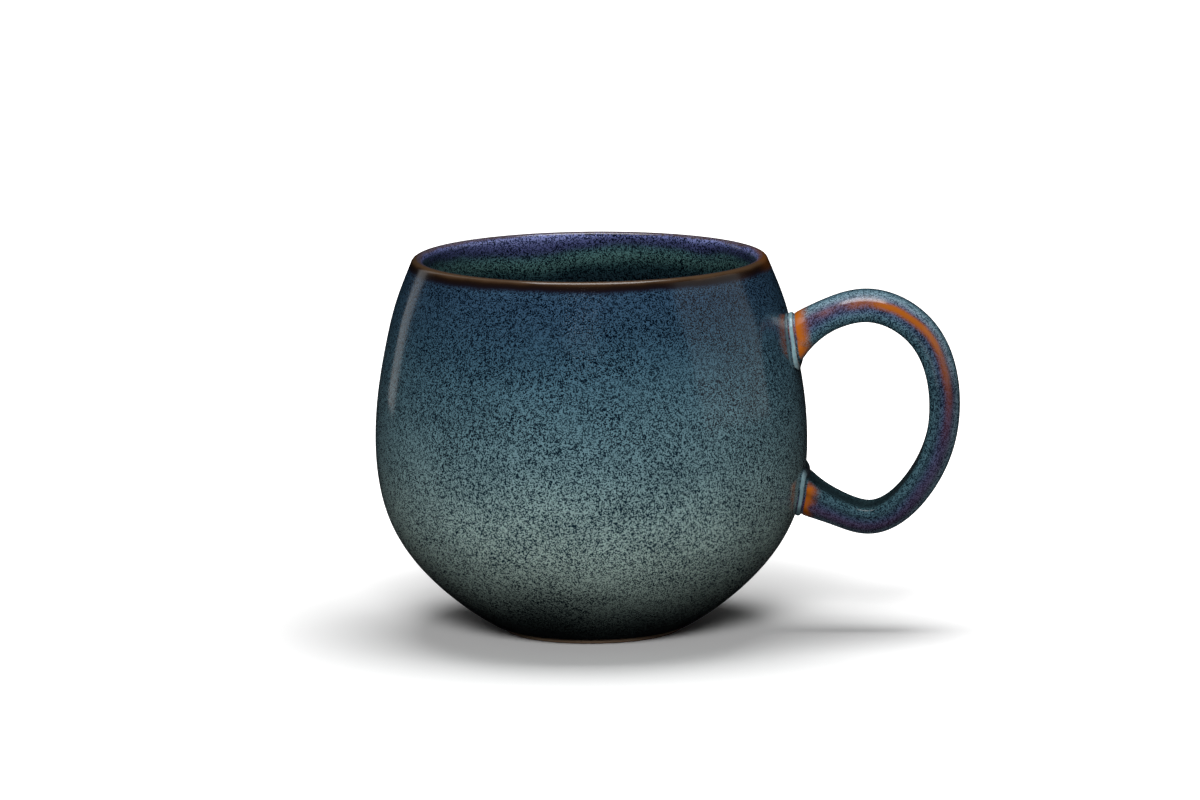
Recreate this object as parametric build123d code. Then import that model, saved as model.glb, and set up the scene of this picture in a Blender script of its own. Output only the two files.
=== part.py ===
from build123d import *

import os
from math import cos, radians, sin

# Round-bellied stoneware mug with a loop handle, in millimetres. +Z is up, the origin is on the
# bowl's axis in the plane that the foot stands on, and the handle points along +X.
# Every "radius" of the bowl is to its clay, so a coat of glaze lies outside it.

# Bowl
bowl_height = 83.2
belly_radius = 47.6
belly_height = 44.0
lip_radius = 38.3
lip_thickness = 1.9
lip_lean = 22.0
wall_thickness = 3.6
floor_thickness = 4.4

# Form of the outside: shares of the way from the foot to the belly, and from the belly to the lip
haunch_form = [(0.22, 0.495), (0.54, 0.876)]
shoulder_form = [(0.26, 0.09), (0.52, 0.3), (0.76, 0.575)]

# Foot ring
foot_radius = 19.8
foot_width = 3.6
foot_land = 0.8
foot_recess = 1.8
foot_flare = 27.0
foot_softening = 0.5

# Glaze
glaze = 0.4
glaze_line = 1.1
rim_band = 3.2

# Handle, placed from the belly, the rim and the foot
handle_width = 13.7
handle_thickness = 5.9
handle_shoulder_width = 10.2
handle_shoulder_height = 3.9
handle_edge_radius = 1.1
handle_shoulder_radius = 2.4
handle_reach = 31.0
handle_crown_reach = 14.0
handle_rise = 8.4
handle_drop = 6.3
upper_joint_below_rim = 18.6
lower_joint_height = 31.0

# Flare of the handle's ends, and the slip that lutes them to the wall
flare_length = 15.0
flare_thickness = 3.6
flare_width = 2.0
slip_height = 1.4
slip_collar = 0.8

# How far the handle's loft starts inside the wall, how many sections it has, and how many steps
# a curve is followed in when it is moved off the clay
handle_root = 2.5
section_count = 17
curve_steps = 24


def outside_curve():
    """Outside of the clay, from the top of the foot's land to the lip, in the XY plane."""
    half_lip = lip_thickness / 2
    lip_x = lip_radius + half_lip * cos(radians(lip_lean))
    lip_y = bowl_height - half_lip + half_lip * sin(radians(lip_lean))
    haunch = [
        (foot_radius + radial * (belly_radius - foot_radius), foot_land + rise * (belly_height - foot_land))
        for rise, radial in haunch_form
    ]
    shoulder = [
        (belly_radius - radial * (belly_radius - lip_x), belly_height + rise * (lip_y - belly_height))
        for rise, radial in shoulder_form
    ]
    points = [(foot_radius, foot_land), *haunch, (belly_radius, belly_height), *shoulder, (lip_x, lip_y)]
    start = (cos(radians(foot_flare)), sin(radians(foot_flare)))
    end = (-sin(radians(lip_lean)), cos(radians(lip_lean)))
    return Spline(*points, tangents=(start, end))


def beside(curve, distance, stations):
    """Points beside a curve that runs up the outside, a distance outwards of it."""
    points = []
    for t in stations:
        along = curve % t
        points.append(curve @ t + Vector(along.Y, -along.X) * distance)
    return points


def clay_face():
    """Half section of the bowl's clay, from the foot up the outside, over the lip and down the inside."""
    outside = outside_curve()
    inside = inside_curve()
    lip_top = (lip_radius, bowl_height)
    lip = ThreePointArc(outside @ 1, lip_top, inside @ 0)
    land = Line((foot_radius, 0), (foot_radius, foot_land))
    foot_inner = foot_radius - foot_width
    underside = Polyline(inside @ 1, (0, foot_recess), (foot_inner, foot_recess), (foot_inner, 0), (foot_radius, 0))
    face = make_face([outside, lip, inside, underside, land])
    foot_corners = [vertex for vertex in face.vertices() if vertex.Y < 0.01]
    return fillet(foot_corners, foot_softening)


def inside_curve():
    """Inside of the clay, from the lip down the wall to the middle of the floor."""
    outside = outside_curve()
    half_lip = lip_thickness / 2
    lip_lean_inside = lip_lean / 2
    start_x = lip_radius - half_lip * cos(radians(lip_lean_inside))
    start_y = bowl_height - half_lip - half_lip * sin(radians(lip_lean_inside))
    wall = beside(outside, -wall_thickness, [0.88, 0.72, 0.55, 0.4, 0.25])
    floor_top = foot_recess + floor_thickness
    start = (sin(radians(lip_lean_inside)), -cos(radians(lip_lean_inside)))
    return Spline((start_x, start_y), *wall, (0, floor_top), tangents=(start, (-1, 0)))


def moved(curve, distance):
    """A curve of the bowl's section, moved by a distance off the clay."""
    if distance == 0:
        return curve
    points = beside(curve, distance, [index / curve_steps for index in range(curve_steps + 1)])
    return Spline(*points, tangents=(curve % 0, curve % 1))


def coat_face():
    """Half section of the whole coat of glaze, before it is divided at the rim band and the glaze line."""
    outside = outside_curve()
    inside = inside_curve()
    outer = moved(outside, glaze)
    inner = moved(inside, glaze)
    over_lip = ThreePointArc(outer @ 1, (lip_radius, bowl_height + glaze), inner @ 0)
    clay_lip = ThreePointArc(outside @ 1, (lip_radius, bowl_height), inside @ 0)
    foot_end = Line(outside @ 0, outer @ 0)
    middle_end = Line(inside @ 1, inner @ 1)
    return make_face([outer, over_lip, inner, middle_end, inside, clay_lip, outside, foot_end])


def between(low, high, face):
    """The part of a half section that lies between two heights."""
    reach = 2 * belly_radius
    band = Pos(reach / 2, (low + high) / 2) * Rectangle(reach, high - low)
    return face & band


def turned(face):
    """A half section turned round the bowl's axis."""
    return revolve(Plane.XZ * face, Axis.Z)


def wall_solid(distance):
    """Everything inside the outside wall moved out by a distance, for cutting what meets the wall."""
    side = moved(outside_curve(), distance)
    closing = Polyline(side @ 1, (0, (side @ 1).Y), (0, (side @ 0).Y), side @ 0)
    return turned(make_face([side, closing]))


def wall_radius(height):
    """Radius of the clay's outside at a height."""
    level = Line((0, height), (2 * belly_radius, height))
    return max(point.X for point in outside_curve().find_intersection_points(level))


def handle_path():
    """Middle line of the handle, from inside the wall at the upper joint round to the lower joint."""
    upper = bowl_height - upper_joint_below_rim
    lower = lower_joint_height
    crown = belly_radius + handle_crown_reach
    outermost = belly_radius + handle_reach
    side = (crown + 2.3 * outermost) / 3.3
    shoulder = (crown + belly_radius) / 2
    points = [
        (wall_radius(upper) - handle_root, 0, upper - handle_root / 2),
        (shoulder, 0, upper + 0.83 * handle_rise),
        (crown, 0, upper + handle_rise),
        (side, 0, upper + 0.3 * handle_rise),
        (outermost, 0, (upper + lower) / 2 + handle_rise / 3),
        (side, 0, lower + 0.38 * handle_drop),
        (crown, 0, lower - handle_drop),
        (shoulder, 0, lower - 0.7 * handle_drop),
        (wall_radius(lower) - handle_root, 0, lower + handle_root / 2),
    ]
    return Spline(*points, tangents=((1, 0, 1), (-1, 0, 0.75)))


def handle_section(flare, grow):
    """Section of the handle, flat on its inner side and crowned on its outer side, local y outwards."""
    thickness = handle_thickness + flare * flare_thickness
    widening = flare * flare_width
    half_width = (handle_width + widening) / 2
    half_shoulder = (handle_shoulder_width + widening) / 2
    bottom = -thickness / 2
    shoulder = bottom + handle_shoulder_height * thickness / handle_thickness
    base = Line((-half_width, bottom), (half_width, bottom))
    side = Line((half_width, bottom), (half_shoulder, shoulder))
    crown = ThreePointArc((half_shoulder, shoulder), (0, thickness / 2), (-half_shoulder, shoulder))
    far_side = Line((-half_shoulder, shoulder), (-half_width, bottom))
    face = make_face([base, side, crown, far_side])
    face = fillet(face.vertices().group_by(Axis.Y)[-1], handle_shoulder_radius)
    face = fillet(face.vertices().group_by(Axis.Y)[0], handle_edge_radius)
    return offset(face, amount=grow) if grow else face


def handle_bar(grow):
    """The whole loop, grown all round by a distance, with both ends inside the wall."""
    path = handle_path()
    sections = []
    for index in range(section_count):
        t = index / (section_count - 1)
        to_end = min(t, 1 - t) * path.length
        flare = max(0, 1 - to_end / flare_length) ** 2
        plane = Plane(origin=path @ t, x_dir=(0, 1, 0), z_dir=path % t)
        sections.append(plane * handle_section(flare, grow))
    return loft(sections)


def write(node, shape):
    """Write one sub-part, as a group where it is more than one solid."""
    solids = shape.solids()
    part = solids[0] if len(solids) == 1 else Compound(children=solids)
    export_step(part, f"parts/{node}.step")
    print(node, len(solids), round(sum(solid.volume for solid in solids), 1))


def main():
    os.makedirs("parts", exist_ok=True)
    clay = wall_solid(0)
    glazed = wall_solid(glaze)
    padded = wall_solid(slip_height)
    padded_glazed = wall_solid(slip_height + glaze)
    bar = handle_bar(0)
    glazed_bar = handle_bar(glaze)
    collar = handle_bar(slip_collar)
    glazed_collar = handle_bar(slip_collar + glaze)

    coat = coat_face()
    rim_low = bowl_height - rim_band
    top = bowl_height + 2 * glaze
    side_coats = between(glaze_line, rim_low, coat).faces().sort_by(Axis.X)

    write("bowl", turned(clay_face()))
    write("rim_glaze", turned(between(rim_low, top, coat)))
    write("outer_glaze", turned(side_coats[-1]) - collar)
    write("inner_glaze", turned(side_coats[0]))

    recess_radius = foot_radius - foot_width
    base = Cylinder(recess_radius, glaze, align=(Align.CENTER, Align.CENTER, Align.MIN))
    write("base_glaze", Pos(0, 0, foot_recess - glaze) * base)

    handle = bar - padded
    joints = (collar & padded) - clay
    lower_joint, upper_joint = joints.solids().sort_by(Axis.Z)
    write("handle", handle)
    write("upper_slip_joint", upper_joint)
    write("lower_slip_joint", lower_joint)
    write("handle_glaze", glazed_bar + (glazed_collar & padded_glazed) - glazed - bar - (collar & padded))


if __name__ == "__main__":
    main()
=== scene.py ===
"""A round-bellied stoneware mug in a speckled blue reactive glaze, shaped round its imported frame.

Lengths are in metres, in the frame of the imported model: +Z up, the bowl's axis at the origin and the
handle along +X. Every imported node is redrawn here, and the clay and slip lie just under the glaze.
"""

import logging
import math
from collections.abc import Sequence
from dataclasses import dataclass
from enum import Enum

import bpy
import numpy as np
from mathutils import Matrix, Vector


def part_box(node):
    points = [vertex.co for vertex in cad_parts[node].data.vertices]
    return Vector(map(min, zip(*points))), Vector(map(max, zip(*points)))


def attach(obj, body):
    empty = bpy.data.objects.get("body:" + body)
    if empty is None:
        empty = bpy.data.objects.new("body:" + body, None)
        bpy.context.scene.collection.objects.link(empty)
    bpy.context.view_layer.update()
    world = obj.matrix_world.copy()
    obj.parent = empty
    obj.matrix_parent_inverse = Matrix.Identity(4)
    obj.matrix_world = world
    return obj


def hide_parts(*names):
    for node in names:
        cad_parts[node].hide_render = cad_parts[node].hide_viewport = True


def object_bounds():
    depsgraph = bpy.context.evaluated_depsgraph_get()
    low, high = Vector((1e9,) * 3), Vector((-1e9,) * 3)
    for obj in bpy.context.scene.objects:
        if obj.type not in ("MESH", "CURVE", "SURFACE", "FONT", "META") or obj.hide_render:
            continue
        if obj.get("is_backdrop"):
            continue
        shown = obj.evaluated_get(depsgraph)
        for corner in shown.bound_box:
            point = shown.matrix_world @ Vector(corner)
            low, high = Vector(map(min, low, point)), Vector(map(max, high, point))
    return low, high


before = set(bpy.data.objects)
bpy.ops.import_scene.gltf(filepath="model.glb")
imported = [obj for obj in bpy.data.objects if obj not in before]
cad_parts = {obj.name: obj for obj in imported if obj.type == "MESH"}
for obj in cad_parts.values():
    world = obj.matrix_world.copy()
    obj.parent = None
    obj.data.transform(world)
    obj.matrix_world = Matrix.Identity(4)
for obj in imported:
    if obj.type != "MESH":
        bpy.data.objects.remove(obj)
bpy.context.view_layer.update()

MM = 0.001
LOG = logging.getLogger("mug")

Colour = tuple[float, float, float]
Point2 = tuple[float, float]


# ---------------------------------------------------------------------------------------------
# Lines that the sections are drawn with
# ---------------------------------------------------------------------------------------------


@dataclass(frozen=True)
class SmoothLine:
    """A line of even curvature through a few points, with a set direction at each end.

    Attributes:
        points: The points that it passes through, at least three.
        start: Direction in which it leaves the first point.
        end: Direction in which it reaches the last point.
    """

    points: tuple[Point2, ...]
    start: Point2
    end: Point2

    def trace(self, count: int) -> np.ndarray:
        """Follow the line.

        Args:
            count: How many stations to return, evenly spread over the chords.

        Returns:
            An array of count rows, x and y.
        """
        knots = np.array(self.points)
        chords = np.linalg.norm(np.diff(knots, axis=0), axis=1)
        slopes = self._slopes(knots, chords)
        places = np.concatenate([[0], np.cumsum(chords)])
        stations = np.linspace(0, places[-1], count)
        spans = np.clip(np.searchsorted(places, stations, side="right") - 1, 0, len(chords) - 1)
        step = chords[spans][:, None]
        t = (stations - places[spans])[:, None] / step
        return (
            (1 + 2 * t) * (1 - t) ** 2 * knots[spans]
            + t * (1 - t) ** 2 * step * slopes[spans]
            + t * t * (3 - 2 * t) * knots[spans + 1]
            + t * t * (t - 1) * step * slopes[spans + 1]
        )

    def _slopes(self, knots: np.ndarray, chords: np.ndarray) -> np.ndarray:
        """Directions at the points that make the curvature run on without a step."""
        count = len(knots)
        matrix = np.eye(count)
        sides = np.zeros((count, knots.shape[1]))
        sides[0] = np.array(self.start) / np.linalg.norm(self.start)
        sides[-1] = np.array(self.end) / np.linalg.norm(self.end)
        for i in range(1, count - 1):
            before, after = chords[i - 1], chords[i]
            matrix[i, i - 1 : i + 2] = 1 / before, 2 / before + 2 / after, 1 / after
            sides[i] = 3 * (knots[i] - knots[i - 1]) / before**2 + 3 * (knots[i + 1] - knots[i]) / after**2
        return np.linalg.solve(matrix, sides)


def beside(line: np.ndarray, distance: float) -> np.ndarray:
    """Move a line sideways.

    Args:
        line: Rows of x and y.
        distance: How far to move it to its right-hand side, seen along the line.

    Returns:
        The moved rows.
    """
    along = np.gradient(line, axis=0)
    along /= np.linalg.norm(along, axis=1)[:, None]
    return line + distance * np.stack([along[:, 1], -along[:, 0]], axis=1)


def arc(centre: Point2, radius: float, first: float, last: float, count: int) -> np.ndarray:
    """Points on an arc.

    Args:
        centre: Its centre.
        radius: Its radius.
        first: Angle of the first point, in degrees.
        last: Angle of the last point, in degrees.
        count: How many points.

    Returns:
        An array of count rows, x and y.
    """
    turn = np.radians(np.linspace(first, last, count))
    return np.stack([centre[0] + radius * np.cos(turn), centre[1] + radius * np.sin(turn)], axis=1)


# ---------------------------------------------------------------------------------------------
# Shader nodes
# ---------------------------------------------------------------------------------------------


class Graph:
    """Adds and links nodes in one shader tree."""

    def __init__(self, tree: bpy.types.NodeTree) -> None:
        """Work in a tree.

        Args:
            tree: A material's tree or a node group.
        """
        self.tree = tree

    def add(self, kind: str, inputs: dict | None = None, **settings: object) -> bpy.types.Node:
        """Add a node.

        Args:
            kind: The node's type name.
            inputs: Sockets, by name or number, with the value or the socket that feeds each.
            settings: The node's own settings.

        Returns:
            The new node.
        """
        node = self.tree.nodes.new(kind)
        for name, value in settings.items():
            setattr(node, name, value)
        for key, value in (inputs or {}).items():
            self.feed(node.inputs[key], value)
        return node

    def feed(self, socket: bpy.types.NodeSocket, value: object) -> None:
        """Give a socket its value, or link it to the socket that feeds it."""
        if isinstance(value, bpy.types.NodeSocket):
            self.tree.links.new(value, socket)
        elif socket.type == "RGBA":
            socket.default_value = (*value, 1.0) if len(value) == 3 else value
        else:
            socket.default_value = value

    def math(self, operation: str, a: object, b: object = 0.0, clamp: bool = False) -> bpy.types.NodeSocket:
        """Result of a Math node."""
        node = self.add("ShaderNodeMath", {0: a, 1: b}, operation=operation, use_clamp=clamp)
        return node.outputs[0]

    def span(
        self, value: object, low: float, high: float, to_low: float = 0.0, to_high: float = 1.0
    ) -> bpy.types.NodeSocket:
        """A value carried smoothly from one range to another, held at its ends."""
        settings = {"Value": value, "From Min": low, "From Max": high, "To Min": to_low, "To Max": to_high}
        return self.add("ShaderNodeMapRange", settings, interpolation_type="SMOOTHSTEP").outputs["Result"]

    def mix(self, share: object, a: object, b: object, blend: str = "MIX") -> bpy.types.NodeSocket:
        """Result of mixing two colours."""
        node = self.add("ShaderNodeMix", data_type="RGBA", blend_type=blend, clamp_factor=True)
        self.feed(node.inputs["Factor"], share)
        self.feed(node.inputs[6], a)
        self.feed(node.inputs[7], b)
        return node.outputs[2]

    def ramp(self, value: object, stops: Sequence[tuple[float, Colour]]) -> bpy.types.NodeSocket:
        """A colour looked up along a smooth ramp.

        Args:
            value: Where to look, from 0 to 1.
            stops: Places and their colours, in order.

        Returns:
            The colour's socket.
        """
        node = self.add("ShaderNodeValToRGB", {"Fac": value})
        band = node.color_ramp
        band.interpolation = "B_SPLINE"
        while len(band.elements) < len(stops):
            band.elements.new(1.0)
        for element, (place, colour) in zip(band.elements, stops):
            element.position = place
            element.color = (*colour, 1.0)
        return node.outputs["Color"]

    def noise(
        self, where: object, scale: float, detail: float = 2.0, roughness: float = 0.5
    ) -> bpy.types.NodeSocket:
        """Value of a Noise texture, centred on a half."""
        inputs = {"Vector": where, "Scale": scale, "Detail": detail, "Roughness": roughness}
        return self.add("ShaderNodeTexNoise", inputs).outputs["Fac"]

    def radius(self, parts: bpy.types.Node) -> bpy.types.NodeSocket:
        """Distance from the upright axis, from the separated parts of a place."""
        across = self.math("POWER", parts.outputs[0], 2.0)
        deep = self.math("POWER", parts.outputs[1], 2.0)
        return self.math("SQRT", self.math("ADD", across, deep))

    def place(self) -> bpy.types.NodeSocket:
        """The point on the piece, in metres."""
        return self.add("ShaderNodeTexCoord").outputs["Object"]


def shader_group(
    name: str, inputs: dict[str, object], outputs: Sequence[str]
) -> tuple[Graph, bpy.types.Node, bpy.types.Node]:
    """Start a node group.

    Args:
        name: The group's name.
        inputs: Each input and its first value: a number, a colour, or None for a vector.
        outputs: Names of the outputs. One that ends in "Colour" is a colour, the rest are values.

    Returns:
        The group's graph, its input node and its output node.
    """
    tree = bpy.data.node_groups.new(name, "ShaderNodeTree")
    for label, value in inputs.items():
        kind = "NodeSocketFloat" if isinstance(value, float) else "NodeSocketVector"
        if isinstance(value, tuple):
            kind = "NodeSocketColor"
        socket = tree.interface.new_socket(label, in_out="INPUT", socket_type=kind)
        if isinstance(value, float):
            socket.default_value = value
        elif value is not None:
            socket.default_value = (*value, 1.0)
    for label in outputs:
        kind = "NodeSocketColor" if label.endswith("Colour") else "NodeSocketFloat"
        tree.interface.new_socket(label, in_out="OUTPUT", socket_type=kind)
    graph = Graph(tree)
    return graph, graph.add("NodeGroupInput"), graph.add("NodeGroupOutput")


class Effects:
    """The node groups that several finishes share, each built once."""

    def __init__(self) -> None:
        """Build the groups."""
        self.speckle = self._speckle()
        self.reactive = self._reactive()
        self.relief = self._relief()
        self.clay = self._clay()

    def use(self, graph: Graph, group: bpy.types.NodeTree, **inputs: object) -> bpy.types.Node:
        """Place a group in a graph.

        Args:
            graph: Where to place it.
            group: The group.
            inputs: Its inputs, with _ for each space in a name.

        Returns:
            The group's node.
        """
        node = graph.add("ShaderNodeGroup", node_tree=group)
        for label, value in inputs.items():
            graph.feed(node.inputs[label.replace("_", " ")], value)
        return node

    def _speckle(self) -> bpy.types.NodeTree:
        """Fine grains of opaque glaze that float in the dark glaze."""
        inputs = {"Place": None, "Grains": 3300.0, "Softness": 0.03}
        graph, given, out = shader_group("Glaze speckle", inputs, ["Grain"])
        place, grains, softness = given.outputs[0], given.outputs[1], given.outputs[2]
        fine = graph.noise(place, grains, 2.0, 0.62)
        coarse = graph.noise(place, graph.math("MULTIPLY", grains, 0.38), 1.0, 0.5)
        blend = graph.math("ADD", graph.math("MULTIPLY", fine, 0.8), graph.math("MULTIPLY", coarse, 0.2))
        low = graph.math("SUBTRACT", 0.5, softness)
        high = graph.math("ADD", 0.5, softness)
        inputs = {"Value": blend, "From Min": low, "From Max": high}
        grain = graph.add("ShaderNodeMapRange", inputs).outputs["Result"]
        graph.feed(out.inputs["Grain"], grain)
        return graph.tree

    def _reactive(self) -> bpy.types.NodeTree:
        """Dark glaze with lighter grains, drifting in clouds."""
        given_values = {
            "Place": None,
            "Grain": 0.5,
            "Dark": (0.01, 0.03, 0.05),
            "Light": (0.1, 0.2, 0.25),
            "Cloud size": 38.0,
            "Cloud depth": 0.5,
            "Cover": 0.0,
        }
        graph, given, out = shader_group("Reactive glaze", given_values, ["Colour"])
        place = given.outputs["Place"]
        drawn = graph.add("ShaderNodeMapping", {"Vector": place, "Scale": (1.0, 1.0, 2.2)}).outputs[0]
        big = graph.noise(drawn, given.outputs["Cloud size"], 3.0, 0.55)
        small = graph.noise(place, graph.math("MULTIPLY", given.outputs["Cloud size"], 4.3), 2.0, 0.5)
        cloud = graph.math("ADD", graph.math("MULTIPLY", big, 0.72), graph.math("MULTIPLY", small, 0.28))
        drift = graph.math("MULTIPLY", graph.math("SUBTRACT", cloud, 0.5), given.outputs["Cloud depth"])
        drift = graph.math("ADD", graph.math("MULTIPLY", drift, 3.0), given.outputs["Cover"])
        share = graph.math("ADD", given.outputs["Grain"], drift, clamp=True)
        graph.feed(out.inputs["Colour"], graph.mix(share, given.outputs["Dark"], given.outputs["Light"]))
        return graph.tree

    def _relief(self) -> bpy.types.NodeTree:
        """Height of the glaze's own skin: slow ripples, a fine dimpling and a few pinholes."""
        inputs = {"Place": None, "Ripple": 1.0, "Dimple": 1.0, "Pinhole": 1.0}
        graph, given, out = shader_group("Glaze relief", inputs, ["Height"])
        place = given.outputs["Place"]
        ripple = graph.math("MULTIPLY", graph.noise(place, 42.0, 1.0), given.outputs["Ripple"])
        dimple = graph.math("MULTIPLY", graph.noise(place, 900.0, 1.0), given.outputs["Dimple"])
        cells = graph.add("ShaderNodeTexVoronoi", {"Vector": place, "Scale": 260.0}, feature="F1")
        spot = graph.span(cells.outputs["Distance"], 0.05, 0.12)
        chance = graph.add("ShaderNodeSeparateColor", {0: cells.outputs["Color"]}).outputs[0]
        few = graph.math("GREATER_THAN", chance, 0.93)
        hole = graph.math("MULTIPLY", graph.math("SUBTRACT", spot, 1.0), few)
        hole = graph.math("MULTIPLY", hole, given.outputs["Pinhole"])
        slow = graph.math("MULTIPLY", ripple, 0.00045)
        height = graph.math("ADD", slow, graph.math("MULTIPLY", dimple, 0.0000045))
        height = graph.math("ADD", height, graph.math("MULTIPLY", hole, 0.00006))
        graph.feed(out.inputs["Height"], height)
        return graph.tree

    def _clay(self) -> bpy.types.NodeTree:
        """Fired stoneware: sand, iron specks and the marks of turning."""
        inputs = {"Place": None, "Body": (0.35, 0.25, 0.17), "Iron": (0.09, 0.05, 0.03), "Turning": 1.0}
        graph, given, out = shader_group("Fired clay", inputs, ["Colour", "Rough", "Height"])
        place = given.outputs["Place"]
        tone = graph.noise(place, 120.0, 3.0, 0.6)
        ruddy = graph.mix(0.28, given.outputs["Body"], given.outputs["Iron"])
        body = graph.mix(graph.span(tone, 0.3, 0.7), ruddy, given.outputs["Body"])
        cells = graph.add("ShaderNodeTexVoronoi", {"Vector": place, "Scale": 700.0}, feature="F1")
        speck = graph.span(cells.outputs["Distance"], 0.30, 0.12)
        chance = graph.add("ShaderNodeSeparateColor", {0: cells.outputs["Color"]}).outputs[1]
        speck = graph.math("MULTIPLY", speck, graph.math("GREATER_THAN", chance, 0.72))
        graph.feed(out.inputs["Colour"], graph.mix(speck, body, given.outputs["Iron"]))
        sand = graph.noise(place, 2600.0, 3.0, 0.6)
        graph.feed(out.inputs["Rough"], graph.span(sand, 0.2, 0.8, 0.72, 0.92))
        parts = graph.add("ShaderNodeSeparateXYZ", {0: place})
        radius = graph.radius(parts)
        lines = graph.math("SINE", graph.math("MULTIPLY", radius, 9000.0))
        lines = graph.math("MULTIPLY", graph.math("MULTIPLY", lines, given.outputs["Turning"]), 0.000012)
        graph.feed(out.inputs["Height"], graph.math("ADD", graph.math("MULTIPLY", sand, 0.00006), lines))
        return graph.tree


# ---------------------------------------------------------------------------------------------
# Finishes
# ---------------------------------------------------------------------------------------------


class Coat(Enum):
    """Where a glaze lies, which decides how its colour changes over the mug."""

    OUTSIDE = "outer_glaze"
    RIM = "rim_glaze"
    INSIDE = "inner_glaze"
    HANDLE = "handle_glaze"
    BASE = "base_glaze"


def new_material(name: str) -> tuple[bpy.types.Material, Graph, bpy.types.Node]:
    """A node material with an empty Principled shader.

    Args:
        name: The material's name.

    Returns:
        The material, its graph and its Principled node.
    """
    material = bpy.data.materials.new(name)
    material.use_nodes = True
    material.node_tree.nodes.clear()
    graph = Graph(material.node_tree)
    shader = graph.add("ShaderNodeBsdfPrincipled")
    out = graph.add("ShaderNodeOutputMaterial")
    graph.feed(out.inputs["Surface"], shader.outputs["BSDF"])
    return material, graph, shader


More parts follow.
